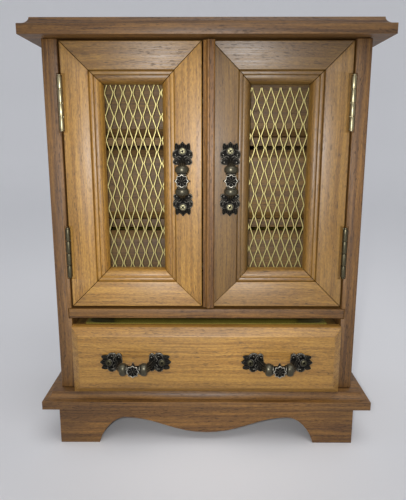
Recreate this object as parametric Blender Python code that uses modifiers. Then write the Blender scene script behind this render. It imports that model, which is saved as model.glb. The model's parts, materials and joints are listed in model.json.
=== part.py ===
"""Jewelry armoire: a small wooden table-top cabinet.

Two mitred doors with brass mesh panels close over three felt-lined drawers, and a
fourth drawer sits below them. Metres, +Z up, the doors face -Y, and the origin is
the centre of the bounding box on the floor.
"""
import math

import bmesh
import bpy
from mathutils import Matrix, Vector
from mathutils.geometry import interpolate_bezier

# ---------------------------------------------------------------- driving sizes
FIT = 0.0003                 # gap left between two pieces that touch
SOFTEN = 0.0004              # chamfer on the edges of boards

BODY_WIDTH = 0.1752          # across the outer faces of the side panels
BODY_DEPTH = 0.1080          # front edge to back edge of a side panel
SIDE_THICKNESS = 0.0085
FOOT_HEIGHT = 0.0262         # floor to the underside of the base board

BASE_OVERHANG = 0.0096       # past the side panels and the door faces
BASE_EDGE = 0.0050           # straight part of the base board's edge
BASE_COVE_RISE = 0.0044
BASE_COVE_WIDTH = 0.0049

TOP_OVERHANG = 0.0094        # past the side panels and the door faces
TOP_EDGE = 0.0053            # straight part of the top board's edge
TOP_COVE_RISE = 0.0039
TOP_COVE_WIDTH = 0.0051

DRAWER_OPENING = 0.0444      # height between base board and middle board
MIDDLE_THICKNESS = 0.0056
DOOR_OPENING = 0.1499        # height between middle board and top board
HOUSING_DEPTH = 0.0017       # how far boards are let into the side panels

BACK_THICKNESS = 0.0030
BACK_REBATE_WIDTH = 0.0040

DIVIDER_THICKNESS = 0.0050
LOWEST_EXTRA = 0.0020        # how much taller the lowest opening is than the others
CATCH_ROOM = 0.0080          # height kept over the top drawer for the catches

APRON_OVERHANG = 0.0018      # past the side panels and the door faces
APRON_THICKNESS = 0.0065
FOOT_LENGTH = 0.0238         # outside corner to the foot's inner toe, at the front
ARCH_PEAK_HEIGHT = 0.0170    # highest point of the scroll
ARCH_PEAK_IN = 0.0161        # how far in from the foot's toe it lies
ARCH_DIP_HEIGHT = 0.0070     # lowest point of the scroll, at the middle
TOE_SLOPE = 0.0020           # how far the scroll leans in as it leaves the toe
PEAK_FLAT = 0.0070           # how far the curve at the peak runs level
SIDE_FOOT_LENGTH = 0.0240
SIDE_ARCH_HEIGHT = 0.0150
SIDE_DIP_HEIGHT = 0.0099
SIDE_PEAK_IN = 0.0120
REAR_TOE_SLOPE = 0.0060

DOOR_THICKNESS = 0.0095
DOOR_SIDE_GAP = 0.0009
DOOR_TOP_GAP = 0.0014
DOOR_BOTTOM_GAP = 0.0018
MEETING_GAP = 0.0050         # between the two doors' lock edges
RAIL_WIDTH = 0.0218          # width of a door frame member
MOULDING_WIDTH = 0.0070      # its moulded inner part
GRILLE_THICKNESS = 0.0008
GRILLE_LAP = 0.0054          # mesh hidden in the rebate, all round
GRILLE_SET_IN = 0.0004       # mesh surface below the back of the door
MESH_ACROSS = 0.0051         # diamond width
MESH_DOWN = 0.0127           # diamond height
MESH_STRAND = 0.00085        # strand width
MESH_BORDER = 0.0010         # least solid metal left round the mesh

STRIP_WIDTH = 0.0059         # beaded strip that covers the gap between the doors
STRIP_PROUD = 0.0036
STRIP_DOOR_GAP = 0.0011      # from the left door's edge to the strip
STRIP_CHAMFER = 0.0024

HINGE_LENGTH = 0.0284
HINGE_INSET = 0.0320         # middle of a hinge from the near end of the door
KNUCKLES = 4
KNUCKLE_RADIUS = 0.00135
BORE_RADIUS = 0.00085
PIN_CLEARANCE = 0.0003
PIN_HEAD_RADIUS = 0.0012
PIN_HEAD_HEIGHT = 0.0006
HINGE_PROUD = 0.0010         # hinge axis in front of the door face
HINGE_FROM_SIDE = 0.00054    # hinge axis from the inside of the side panel
LEAF_THICKNESS = 0.0006
LEAF_DEPTH = 0.0070
MORTISE_DEPTH = 0.0006
NOTCH_IN_DOOR = 0.0024
NOTCH_IN_SIDE = 0.0014
NOTCH_DEPTH = 0.0011

CATCH_X = 0.0190             # catch's distance from the middle
CATCH_WIDTH = 0.0130
CATCH_DEPTH = 0.0080
CATCH_HEIGHT = 0.0058
STRIKE_WIDTH = 0.0110
STRIKE_HEIGHT = 0.0046
STRIKE_THICKNESS = 0.0006

DRAWER_OUT = 0.0060          # how far the lower drawer stands open
FRONT_SIDE_GAP = 0.0008      # drawer front to side panel
FRONT_LIFT = 0.0006          # lower drawer front above the base board
FRONT_TOP_GAP = 0.0033       # lower drawer front below the middle board
FRONT_EDGE = 0.0058          # thickness at the edge of the lower drawer front
BEVEL_WIDTH = 0.0044
BEVEL_DEPTH = 0.0037
BOX_SIDE_GAP = 0.0014        # drawer box to side panel
BOX_WALL = 0.0060
BOX_BOTTOM = 0.0030
BOX_BACK_GAP = 0.0030        # behind a drawer box that is pushed right in
BOX_BELOW_FRONT = 0.0008     # box top edge below the front's top edge
LINING_THICKNESS = 0.0016
LINING_RISE = 0.0010         # lining's rim above the box
LINING_CORNER = 0.0070       # corner radius inside the lining

INNER_SETBACK = 0.0175       # raised face of an inner drawer behind the door faces
INNER_TOP_GAP = 0.0022
INNER_LIFT = 0.0004
INNER_EDGE = 0.0043
INNER_WALL = 0.0045
INNER_BOTTOM = 0.0030
KNOB_RADIUS = 0.0042
KNOB_REACH = 0.0048

PULL_LENGTH = 0.0412
PULL_WIDTH = 0.0120
PULL_REACH = 0.0145          # from the wood to the front of the rosette
PULL_PLATE = 0.0014          # thickness of its leaf plates
PLATE_LENGTH = 0.0122
SCREW_SPACING = 0.0308
GRIP_RADIUS = 0.0016
GRIP_FLOOR = 0.0113          # centre of the grip above the wood
BULB_RADIUS = 0.0026
BULB_SPACING = 0.0116
ROSETTE_RADIUS = 0.0034
DOOR_PULL_X = 0.0131         # door pull's distance from the middle
DOOR_PULL_RISE = 0.0006      # door pull above the middle of the door
DRAWER_PULL_X = 0.0408
DRAWER_PULL_RISE = 0.0007    # drawer pull above the middle of its front

ROUND = 16                   # sides of small round parts
COVE_STEPS = 8
MOULDING_STEPS = 8

# ---------------------------------------------------------------- derived places
FRONT_REACH = DRAWER_OUT + BEVEL_DEPTH + PULL_REACH
FACE = (FRONT_REACH - BODY_DEPTH) / 2        # y of the door faces
BACK = FACE + BODY_DEPTH
HALF = BODY_WIDTH / 2
INNER = HALF - SIDE_THICKNESS                # half of the clear width inside
BASE_TOP = FOOT_HEIGHT + BASE_EDGE + BASE_COVE_RISE
MIDDLE_UNDER = BASE_TOP + DRAWER_OPENING
MIDDLE_TOP = MIDDLE_UNDER + MIDDLE_THICKNESS
TOP_UNDER = MIDDLE_TOP + DOOR_OPENING
BACK_FRONT = BACK - BACK_THICKNESS           # front face of the back panel
DOOR_LOW = MIDDLE_TOP + DOOR_BOTTOM_GAP
DOOR_HIGH = TOP_UNDER - DOOR_TOP_GAP
DOOR_OUTER = INNER - DOOR_SIDE_GAP
DOOR_INNER = MEETING_GAP / 2
DOOR_BACK = FACE + DOOR_THICKNESS
DOOR_MIDDLE = (DOOR_LOW + DOOR_HIGH) / 2
HINGE_HEIGHTS = (DOOR_LOW + HINGE_INSET, DOOR_HIGH - HINGE_INSET)
HINGE_X = INNER - HINGE_FROM_SIDE
HINGE_Y = FACE - HINGE_PROUD
DRAWER_FACE = FACE - DRAWER_OUT - BEVEL_DEPTH
INNER_FACE = FACE + INNER_SETBACK
INNER_EDGE_FACE = INNER_FACE + BEVEL_DEPTH
FRONT_HEIGHT = DRAWER_OPENING - FRONT_LIFT - FRONT_TOP_GAP
INNER_OPENING = (DOOR_OPENING - CATCH_ROOM - LOWEST_EXTRA - 2 * DIVIDER_THICKNESS) / 3
LOWEST_OPENING = INNER_OPENING + LOWEST_EXTRA
DIVIDER_LEVELS = (           # undersides of the two dividers
    MIDDLE_TOP + LOWEST_OPENING,
    MIDDLE_TOP + LOWEST_OPENING + DIVIDER_THICKNESS + INNER_OPENING,
)

# ---------------------------------------------------------------- scene, colours
for old in list(bpy.data.objects):
    bpy.data.objects.remove(old, do_unlink=True)

PARTS = bpy.data.collections.new("jewelry_armoire")
CUTTERS = bpy.data.collections.new("cutters")
for collection in (PARTS, CUTTERS):
    bpy.context.scene.collection.children.link(collection)

FINISHES = {                 # colour, roughness, metallic
    "honey_oak": ((0.48, 0.27, 0.10), 0.42, 0.0),
    "brown_oak": ((0.21, 0.11, 0.045), 0.45, 0.0),
    "inner_wood": ((0.36, 0.23, 0.11), 0.60, 0.0),
    "brass_mesh": ((0.66, 0.52, 0.24), 0.35, 1.0),
    "hinge_brass": ((0.72, 0.66, 0.46), 0.30, 1.0),
    "dark_bronze": ((0.05, 0.042, 0.034), 0.40, 0.9),
    "steel": ((0.55, 0.55, 0.56), 0.35, 1.0),
    "magnet_brown": ((0.10, 0.07, 0.05), 0.55, 0.0),
    "felt": ((0.25, 0.22, 0.06), 0.95, 0.0),
}


def finish(piece_name, kind):
    """A Principled material of the piece's own."""
    colour, roughness, metallic = FINISHES[kind]
    material = bpy.data.materials.new(piece_name + "_" + kind)
    material.use_nodes = True
    shader = material.node_tree.nodes["Principled BSDF"]
    shader.inputs["Base Color"].default_value = (*colour, 1.0)
    shader.inputs["Roughness"].default_value = roughness
    shader.inputs["Metallic"].default_value = metallic
    return material


# ---------------------------------------------------------------- making pieces
def axis_empty(name, at):
    """An empty on a joint's axis, the parent of all that moves with it."""
    empty = bpy.data.objects.new(name, None)
    empty.location = at
    PARTS.objects.link(empty)
    return empty


def place(name, mesh, kind, at=(0, 0, 0), turn=(0, 0, 0), parent=None):
    """Put a mesh in the scene as one named piece."""
    piece = bpy.data.objects.new(name, mesh)
    PARTS.objects.link(piece)
    piece.location = at
    piece.rotation_euler = turn
    if parent:
        piece.parent = parent
        piece.location = Vector(at) - parent.location
    if kind:
        if not mesh.materials:
            mesh.materials.append(None)
        piece.material_slots[0].link = "OBJECT"      # so pieces can share a mesh
        piece.material_slots[0].material = finish(name, kind)
    return piece


def mesh_from(bm, name):
    bmesh.ops.recalc_face_normals(bm, faces=bm.faces)
    mesh = bpy.data.meshes.new(name)
    bm.to_mesh(mesh)
    bm.free()
    return mesh


def cube(bm, low, high):
    """Add a box from its two corners."""
    low, high = Vector(low), Vector(high)
    matrix = Matrix.Translation((low + high) / 2) @ Matrix.Diagonal((*(high - low), 1))
    return bmesh.ops.create_cube(bm, size=1, matrix=matrix)["verts"]


def soften(piece, width=SOFTEN):
    bevel = piece.modifiers.new("soft edges", "BEVEL")
    bevel.width = width
    bevel.segments = 1
    bevel.limit_method = "ANGLE"


def board(name, kind, low, high, parent=None, edge=SOFTEN):
    """A plain board between two corners, its edges chamfered."""
    centre = (Vector(low) + Vector(high)) / 2
    bm = bmesh.new()
    cube(bm, Vector(low) - centre, Vector(high) - centre)
    piece = place(name, mesh_from(bm, name), kind, centre, parent=parent)
    if edge:
        soften(piece, edge)
    return piece


def guide(name, mesh, at=(0, 0, 0)):
    """A hidden cutter or joining shape."""
    tool = bpy.data.objects.new(name, mesh)
    CUTTERS.objects.link(tool)
    tool.location = at
    tool.hide_render = True
    tool.display_type = "WIRE"
    return tool


def combine(piece, tool, operation="DIFFERENCE"):
    modifier = piece.modifiers.new(tool.name, "BOOLEAN")
    modifier.operation = operation
    modifier.object = tool


def cut_box(piece, name, low, high):
    bm = bmesh.new()
    cube(bm, low, high)
    combine(piece, guide(name, mesh_from(bm, name)))


def outline_mesh(name, points, thickness):
    """A flat outline in XY, thickened evenly along Z, as a closed mesh."""
    curve = bpy.data.curves.new(name, "CURVE")
    curve.dimensions = "2D"
    curve.fill_mode = "BOTH"
    curve.extrude = thickness / 2
    spline = curve.splines.new("POLY")
    spline.points.add(len(points) - 1)
    for point, (x, y) in zip(spline.points, points):
        point.co = (x, y, 0, 1)
    spline.use_cyclic_u = True
    return curve_to_mesh(name, curve)


def curve_to_mesh(name, curve):
    """Turn a curve into a mesh with its caps welded on."""
    drawn = bpy.data.objects.new(name, curve)
    PARTS.objects.link(drawn)
    graph = bpy.context.evaluated_depsgraph_get()
    mesh = bpy.data.meshes.new_from_object(drawn.evaluated_get(graph))
    bpy.data.objects.remove(drawn, do_unlink=True)
    bpy.data.curves.remove(curve)
    bm = bmesh.new()
    bm.from_mesh(mesh)
    bpy.data.meshes.remove(mesh)
    bmesh.ops.remove_doubles(bm, verts=bm.verts, dist=1e-6)
    return mesh_from(bm, name)


def arc(centre, radii, start, end, steps):
    """Points along part of an ellipse, both ends included; degrees."""
    points = []
    for i in range(steps + 1):
        angle = math.radians(start + (end - start) * i / steps)
        points.append((centre[0] + radii[0] * math.cos(angle),
                       centre[1] + radii[1] * math.sin(angle)))
    return points


def turned(name, kind, profile, at, turn=(0, 0, 0), parent=None):
    """A turned piece: profile runs down its outer side as (radius, height)."""
    mesh = bpy.data.meshes.new(name)
    vertices = [(radius, 0, height) for radius, height in profile]
    edges = [(i, i + 1) for i in range(len(vertices) - 1)]
    mesh.from_pydata(vertices, edges, [])
    piece = place(name, mesh, kind, at, turn, parent)
    screw = piece.modifiers.new("turn", "SCREW")
    screw.steps = ROUND
    screw.render_steps = ROUND
    screw.use_merge_vertices = True
    screw.merge_threshold = 0.00001
    return piece


# ---------------------------------------------------------------- carcass
def coved_board(name, overhang, under, edge, rise, run):
    """A board with a cove cut along the top of its front and both ends."""
    bm = bmesh.new()
    cube(bm, (-HALF - overhang, FACE - overhang, under), (HALF + overhang, BACK, under + edge))
    top = [face for face in bm.faces if face.normal.z > 0.5]
    cove = arc((0, rise), (run, rise), -90, -180, COVE_STEPS)
    for (x0, z0), (x1, z1) in zip(cove, cove[1:]):
        grown = bmesh.ops.extrude_face_region(bm, geom=top)["geom"]
        bmesh.ops.delete(bm, geom=top, context="FACES")
        top = [item for item in grown if isinstance(item, bmesh.types.BMFace)]
        inward = x0 - x1
        for vertex in top[0].verts:
            vertex.co.z += z1 - z0
            vertex.co.x -= math.copysign(inward, vertex.co.x)
            if vertex.co.y < 0:
                vertex.co.y += inward
    return place(name, mesh_from(bm, name), "brown_oak")


def side_panel(name, side):
    """A side panel, rebated for the back and housed for the boards."""
    x0, x1 = sorted((side * INNER, side * HALF))
    panel = board(name, "brown_oak", (x0, FACE, BASE_TOP + FIT), (x1, BACK, TOP_UNDER - FIT))
    inside = side * (INNER - SIDE_THICKNESS)
    levels = [(FACE, MIDDLE_UNDER, MIDDLE_THICKNESS)]
    levels += [(INNER_EDGE_FACE, z, DIVIDER_THICKNESS) for z in DIVIDER_LEVELS]
    for i, (front, z, thickness) in enumerate(levels):
        reach = side * (INNER + HOUSING_DEPTH + FIT)
        start = front - (SIDE_THICKNESS if front == FACE else FIT)
        low = (min(inside, reach), start, z - FIT)
        high = (max(inside, reach), BACK_FRONT - FIT, z + thickness + FIT)
        cut_box(panel, "%s_housing_%d" % (name, i), low, high)
    reach = side * (INNER + BACK_REBATE_WIDTH)
    cut_box(panel, name + "_back_rebate",
            (min(inside, reach), BACK_FRONT - FIT, BASE_TOP - FIT),
            (max(inside, reach), BACK + SIDE_THICKNESS, TOP_UNDER + FIT))
    for i, height in enumerate(HINGE_HEIGHTS):
        cut_hinge_seat(panel, "%s_hinge_%d" % (name, i), side * INNER, side, height,
                       NOTCH_IN_SIDE)
    return panel


def cut_hinge_seat(piece, name, edge, outward, height, notch):
    """Mortise for a leaf and a notch for the knuckles, cut into an edge at x=edge."""
    low_z = height - HINGE_LENGTH / 2 - FIT
    high_z = height + HINGE_LENGTH / 2 + FIT
    back = FACE + NOTCH_DEPTH + LEAF_DEPTH + FIT
    xs = sorted((edge - outward * DOOR_SIDE_GAP / 2, edge + outward * MORTISE_DEPTH))
    cut_box(piece, name + "_mortise", (xs[0], FACE - FIT, low_z), (xs[1], back, high_z))
    xs = sorted((edge - outward * DOOR_SIDE_GAP / 2, edge + outward * notch))
    head = PIN_HEAD_HEIGHT + FIT
    cut_box(piece, name + "_notch", (xs[0], FACE - FIT, low_z - head),
            (xs[1], FACE + NOTCH_DEPTH, high_z + head))


def housed_board(name, kind, front, under, thickness):
    reach = INNER + HOUSING_DEPTH
    return board(name, kind, (-reach, front, under),
                 (reach, BACK_FRONT - 2 * FIT, under + thickness), edge=SOFTEN / 2)


def scroll(half_width, toe, peak_in, peak, dip):
    """Half of a scrolled lower edge, from the foot's toe to the middle."""
    toe_x = half_width - toe
    peak_x = toe_x - peak_in
    rise = interpolate_bezier((toe_x, 0), (toe_x - TOE_SLOPE, peak / 2),
                              (peak_x + PEAK_FLAT, peak), (peak_x, peak), 9)
    fall = interpolate_bezier((peak_x, peak), (peak_x * 0.62, peak),
                              (peak_x * 0.42, dip), (0, dip), 10)
    return [(p.x, p.y) for p in rise] + [(p.x, p.y) for p in fall[1:]]


def apron(name, half_width, edge_points, thickness, at, turn):
    """A scrolled board: edge_points run from the right toe to the middle."""
    top = FOOT_HEIGHT - FIT
    right = [(half_width, top), (half_width, 0)] + edge_points
    left = [(-x, z) for x, z in reversed(right[:-1])]
    mesh = outline_mesh(name, right + left, thickness)
    return place(name, mesh, "brown_oak", at, turn)


def aprons():
    """The four scrolled boards that make the bracket feet."""
    half = HALF + APRON_OVERHANG
    front = FACE - APRON_OVERHANG
    upright = math.radians(90)
    curve = scroll(half, FOOT_LENGTH, ARCH_PEAK_IN, ARCH_PEAK_HEIGHT, ARCH_DIP_HEIGHT)
    apron("front_apron", half, curve, APRON_THICKNESS,
          (0, front + APRON_THICKNESS / 2, 0), (upright, 0, 0))
    toe_x = half - FOOT_LENGTH
    straight = [(toe_x, 0), (toe_x - REAR_TOE_SLOPE, SIDE_ARCH_HEIGHT), (0, SIDE_ARCH_HEIGHT)]
    apron("rear_apron", half, straight, APRON_THICKNESS,
          (0, BACK - APRON_THICKNESS / 2, 0), (upright, 0, 0))
    side_front = front + APRON_THICKNESS + FIT
    side_back = BACK - APRON_THICKNESS - FIT
    side_half = (side_back - side_front) / 2
    toe = SIDE_FOOT_LENGTH - APRON_THICKNESS
    curve = scroll(side_half, toe, SIDE_PEAK_IN, SIDE_ARCH_HEIGHT, SIDE_DIP_HEIGHT)
    for name, side in (("left_apron", -1), ("right_apron", 1)):
        apron(name, side_half, curve, APRON_THICKNESS,
              (side * (half - APRON_THICKNESS / 2), (side_front + side_back) / 2, 0),
              (upright, 0, upright))


def carcass():
    coved_board("base_board", BASE_OVERHANG, FOOT_HEIGHT, BASE_EDGE, BASE_COVE_RISE,
                BASE_COVE_WIDTH)
    coved_board("top_board", TOP_OVERHANG, TOP_UNDER, TOP_EDGE, TOP_COVE_RISE, TOP_COVE_WIDTH)
    side_panel("left_side", -1)
    side_panel("right_side", 1)
    housed_board("middle_board", "brown_oak", FACE, MIDDLE_UNDER, MIDDLE_THICKNESS)
    for name, level in zip(("lower_divider", "upper_divider"), DIVIDER_LEVELS):
        housed_board(name, "inner_wood", INNER_EDGE_FACE, level, DIVIDER_THICKNESS)
    reach = INNER + BACK_REBATE_WIDTH - FIT
    board("back_panel", "inner_wood", (-reach, BACK_FRONT, BASE_TOP + FIT),
          (reach, BACK, TOP_UNDER - FIT), edge=0)
    aprons()


# ---------------------------------------------------------------- doors
def frame_profile():
    """Cross-section of a door frame member: u from its outer edge, v from the face."""
    flat = RAIL_WIDTH - MOULDING_WIDTH
    rebate = DOOR_THICKNESS - GRILLE_SET_IN - GRILLE_THICKNESS - FIT
    crest = flat + 0.0032
    points = [(0, SOFTEN), (SOFTEN, 0), (flat - 0.0003, 0), (flat, 0.0003)]
    points += arc((flat + 0.0012, 0.0018), (0.0012, 0.0009), 180, 270, 3)
    points += [(flat + 0.0022, 0.0010), (flat + 0.0026, 0.0024), (crest, 0.0022)]
    points += arc((crest, rebate - 0.0008), (RAIL_WIDTH - crest, rebate - 0.0030),
                  -90, 0, MOULDING_STEPS)[1:]
    points += [(RAIL_WIDTH, rebate), (RAIL_WIDTH - GRILLE_LAP - FIT, rebate)]
    points += [(RAIL_WIDTH - GRILLE_LAP - FIT, DOOR_THICKNESS), (0, DOOR_THICKNESS)]
    return points


def frame_member(name, length, at, turn_degrees, parent):
    """A moulded member with both ends mitred; turned about Y into its place."""
    mesh = outline_mesh(name, frame_profile(), length)
    mitre_gap = FIT / math.sqrt(2)
    for vertex in mesh.vertices:
        end = length / 2 - vertex.co.x - mitre_gap
        vertex.co.z = math.copysign(end, vertex.co.z)
    return place(name, mesh, "honey_oak", at, (0, math.radians(turn_degrees), 0), parent)


def grille(name, centre_x, parent):
    """Brass mesh: a thin sheet pierced with staggered diamonds."""
    width = DOOR_OUTER - DOOR_INNER - 2 * RAIL_WIDTH + 2 * GRILLE_LAP
    height = DOOR_HIGH - DOOR_LOW - 2 * RAIL_WIDTH + 2 * GRILLE_LAP
    y0 = DOOR_BACK - GRILLE_SET_IN - GRILLE_THICKNESS
    centre = Vector((centre_x, y0 + GRILLE_THICKNESS / 2, DOOR_MIDDLE))
    half = Vector((width / 2, GRILLE_THICKNESS / 2, height / 2))
    sheet = board(name, "brass_mesh", centre - half, centre + half, parent, edge=0)
    a, b = MESH_ACROSS / 2, MESH_DOWN / 2
    shrink = 1 - (MESH_STRAND / 2) * math.hypot(a, b) / (a * b)
    holes = bmesh.new()
    columns = int(width / a) + 1
    rows = int(height / b) + 1
    for column in range(-columns, columns + 1):
        for row in range(-rows, rows + 1):
            if (column + row) % 2 == 0:
                continue
            x, z = column * a, row * b
            if abs(x) + a * shrink > half.x - MESH_BORDER:
                continue
            if abs(z) + b * shrink > half.z - MESH_BORDER:
                continue
            spot = Matrix.Translation((x, 0, z)) @ Matrix.Diagonal((a * shrink, 1, b * shrink, 1))
            bmesh.ops.create_cone(holes, cap_ends=True, segments=4, radius1=1, radius2=1,
                                  depth=GRILLE_THICKNESS * 3,
                                  matrix=spot @ Matrix.Rotation(math.radians(90), 4, "X"))
    combine(sheet, guide(name + "_holes", mesh_from(holes, name + "_holes"), centre))
    return sheet


def hinge_leaf(name, side, height, on_door, parent):
    """A leaf with two knuckles; the door's leaf and the frame's leaf alternate."""
    if on_door:
        inner_x = DOOR_OUTER - MORTISE_DEPTH + FIT
    else:
        inner_x = INNER + MORTISE_DEPTH - FIT - LEAF_THICKNESS
    xs = sorted((side * inner_x, side * (inner_x + LEAF_THICKNESS)))
    low, high = height - HINGE_LENGTH / 2, height + HINGE_LENGTH / 2
    plate_front = FACE + NOTCH_DEPTH
    leaf = board(name, "hinge_brass", (xs[0], plate_front, low),
                 (xs[1], plate_front + LEAF_DEPTH, high), parent, edge=0)
    pitch = HINGE_LENGTH / KNUCKLES
    barrels, tabs = bmesh.new(), bmesh.new()
    for i in range(KNUCKLES):
        if (i % 2 == 0) == on_door:
            continue
        z0 = low + i * pitch + (FIT / 2 if i else 0)
        z1 = low + (i + 1) * pitch - (FIT / 2 if i < KNUCKLES - 1 else 0)
        bmesh.ops.create_cone(barrels, cap_ends=True, segments=ROUND, radius1=KNUCKLE_RADIUS,
                              radius2=KNUCKLE_RADIUS, depth=z1 - z0,
                              matrix=Matrix.Translation((side * HINGE_X, HINGE_Y, (z0 + z1) / 2)))
        cube(tabs, (xs[0], HINGE_Y, z0 + FIT / 4), (xs[1], plate_front + FIT, z1 - FIT / 4))
    combine(leaf, guide(name + "_barrels", mesh_from(barrels, name + "_barrels")), "UNION")
    combine(leaf, guide(name + "_tabs", mesh_from(tabs, name + "_tabs")), "UNION")
    bore = bmesh.new()
    bmesh.ops.create_cone(bore, cap_ends=True, segments=ROUND, radius1=BORE_RADIUS,
                          radius2=BORE_RADIUS, depth=HINGE_LENGTH * 1.5,
                          matrix=Matrix.Translation((side * HINGE_X, HINGE_Y, height)))
    combine(leaf, guide(name + "_bore", mesh_from(bore, name + "_bore")))
    return leaf


def hinge_pin(name, side, height):
    """A headed pin through a hinge's knuckles."""
    end = HINGE_LENGTH / 2 + FIT
    shank = BORE_RADIUS - PIN_CLEARANCE
    head = end + PIN_HEAD_HEIGHT
    profile = [(0, head), (PIN_HEAD_RADIUS * 0.7, head), (PIN_HEAD_RADIUS, end + 0.0002)]
    profile += [(PIN_HEAD_RADIUS, end), (shank, end), (shank, -end), (PIN_HEAD_RADIUS, -end)]
    profile += [(PIN_HEAD_RADIUS, -end - 0.0002), (PIN_HEAD_RADIUS * 0.7, -head), (0, -head)]
    return turned(name, "hinge_brass", profile, (side * HINGE_X, HINGE_Y, height))


def door(word, side, axis):
    """One framed door with its mesh and hinges, hung on the axis empty."""
    outer, inner = side * DOOR_OUTER, side * DOOR_INNER
    middle_x = (outer + inner) / 2
    tall, wide = DOOR_HIGH - DOOR_LOW, DOOR_OUTER - DOOR_INNER
    outward_turn = 0 if side < 0 else 180
    hinge_stile = frame_member(word + "_door_hinge_stile", tall, (outer, FACE, DOOR_MIDDLE),
                               outward_turn, axis)
    frame_member(word + "_door_lock_stile", tall, (inner, FACE, DOOR_MIDDLE),
                 180 - outward_turn, axis)
    frame_member(word + "_door_top_rail", wide, (middle_x, FACE, DOOR_HIGH), 90, axis)
    frame_member(word + "_door_bottom_rail", wide, (middle_x, FACE, DOOR_LOW), -90, axis)
    grille(word + "_door_grille", middle_x, axis)
    for place_word, height in zip(("lower", "upper"), HINGE_HEIGHTS):
        name = "%s_%s_hinge" % (word, place_word)
        cut_hinge_seat(hinge_stile, name, outer, -side, height, NOTCH_IN_DOOR)
        hinge_leaf(name + "_door_leaf", side, height, True, axis)
        hinge_leaf(name + "_frame_leaf", side, height, False, None)
        hinge_pin(name + "_pin", side, height)
    strike_x = side * CATCH_X
    strike_y = DOOR_BACK + FIT
    strike_z = TOP_UNDER - FIT - CATCH_HEIGHT
    board(word + "_strike_plate", "steel",
          (strike_x - STRIKE_WIDTH / 2, strike_y, strike_z),
          (strike_x + STRIKE_WIDTH / 2, strike_y + STRIKE_THICKNESS, strike_z + STRIKE_HEIGHT),
          axis, edge=0)
    catch_y = strike_y + STRIKE_THICKNESS + FIT
    board(word + "_catch", "magnet_brown",
          (strike_x - CATCH_WIDTH / 2, catch_y, strike_z),
          (strike_x + CATCH_WIDTH / 2, catch_y + CATCH_DEPTH, strike_z + CATCH_HEIGHT))


def meeting_strip(axis):
    """The strip on the right door: a moulded cap and a tongue that fills the gap."""
    left = -DOOR_INNER + STRIP_DOOR_GAP
    right = left + STRIP_WIDTH
    tongue_right = DOOR_INNER - FIT
    tongue_left = left + FIT
    front = -STRIP_PROUD
    points = [(left, -FIT), (left, front + STRIP_CHAMFER)]
    points += arc((left, front), (STRIP_CHAMFER * 0.8, STRIP_CHAMFER), 90, 0, 3)[1:]
    crest = left + STRIP_CHAMFER * 0.8
    points += [(crest + 0.0001, front - 0.0002), (crest + 0.0008, front - 0.0002)]
    points += [(crest + 0.0011, front + 0.0003), (right - 0.0007, front + 0.0003)]
    points += [(right, front + 0.0010), (right, -FIT), (tongue_right, -FIT)]
    points += [(tongue_right, DOOR_THICKNESS), (tongue_left, DOOR_THICKNESS)]
    points += [(tongue_left, -FIT)]
    mesh = outline_mesh("meeting_strip", points, DOOR_HIGH - DOOR_LOW)
    place("meeting_strip", mesh, "brown_oak", (0, FACE, DOOR_MIDDLE), parent=axis)


# ---------------------------------------------------------------- pulls
def leaf_plate(direction):
    """Outline of a leaf plate, three-tipped, pointing along +Y or -Y."""
    half_w, tip = PULL_WIDTH / 2, PULL_LENGTH / 2
    root = tip - PLATE_LENGTH
    right = [(0.0022, root), (half_w * 0.95, root + 0.0022), (half_w * 0.72, root + 0.0040)]
    right += [(half_w, root + 0.0062), (half_w * 0.60, root + 0.0082)]
    right += [(half_w * 0.55, tip - 0.0014), (half_w * 0.22, tip - 0.0022)]
    points = right + [(0, tip)] + [(-x, y) for x, y in reversed(right)]
    return [(x, direction * y) for x, y in points]


def pull_mesh():
    """A bow pull lying in XY, long along Y, its back on z=0 and reaching up +Z."""
    ends = []
    for direction in (1, -1):
        mesh = outline_mesh("plate", leaf_plate(direction), PULL_PLATE)
        mesh.transform(Matrix.Translation((0, 0, FIT + PULL_PLATE / 2)))
        ends.append(guide("pull_plate", mesh))
    bow = bpy.data.curves.new("bow", "CURVE")
    bow.dimensions = "3D"
    bow.bevel_depth = GRIP_RADIUS
    bow.bevel_resolution = 1
    bow.use_fill_caps = True
    foot = SCREW_SPACING / 2 - 0.0026
    path = [(foot, FIT + PULL_PLATE / 2), (foot - 0.0008, GRIP_FLOOR * 0.55)]
    path += [(foot - 0.0040, GRIP_FLOOR * 0.92), (BULB_SPACING / 2, GRIP_FLOOR), (0, GRIP_FLOOR)]
    path += [(-y, z) for y, z in reversed(path[:-1])]
    spline = bow.splines.new("POLY")
    spline.points.add(len(path) - 1)
    for point, (y, z) in zip(spline.points, path):
        point.co = (0, y, z, 1)
    grip = place("grip", curve_to_mesh("grip", bow), None)
    for tool in ends:
        combine(grip, tool, "UNION")
    bulbs = bmesh.new()
    for y in (-BULB_SPACING / 2, BULB_SPACING / 2):
        bmesh.ops.create_uvsphere(bulbs, u_segments=10, v_segments=6, radius=BULB_RADIUS,
                                  matrix=Matrix.Translation((0, y, GRIP_FLOOR)))
    combine(grip, guide("pull_bulbs", mesh_from(bulbs, "bulbs")), "UNION")
    rosette = bmesh.new()
    depth = PULL_REACH - GRIP_FLOOR + GRIP_RADIUS / 2
    bmesh.ops.create_cone(rosette, cap_ends=True, segments=ROUND, radius1=ROSETTE_RADIUS,
                          radius2=ROSETTE_RADIUS * 0.75, depth=depth,
                          matrix=Matrix.Translation((0, 0, PULL_REACH - depth / 2)))
    combine(grip, guide("pull_rosette", mesh_from(rosette, "rosette")), "UNION")
    graph = bpy.context.evaluated_depsgraph_get()
    mesh = bpy.data.meshes.new_from_object(grip.evaluated_get(graph))
    bpy.data.objects.remove(grip, do_unlink=True)
    mesh.name = "pull"
    mesh.materials.clear()
    return mesh


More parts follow.
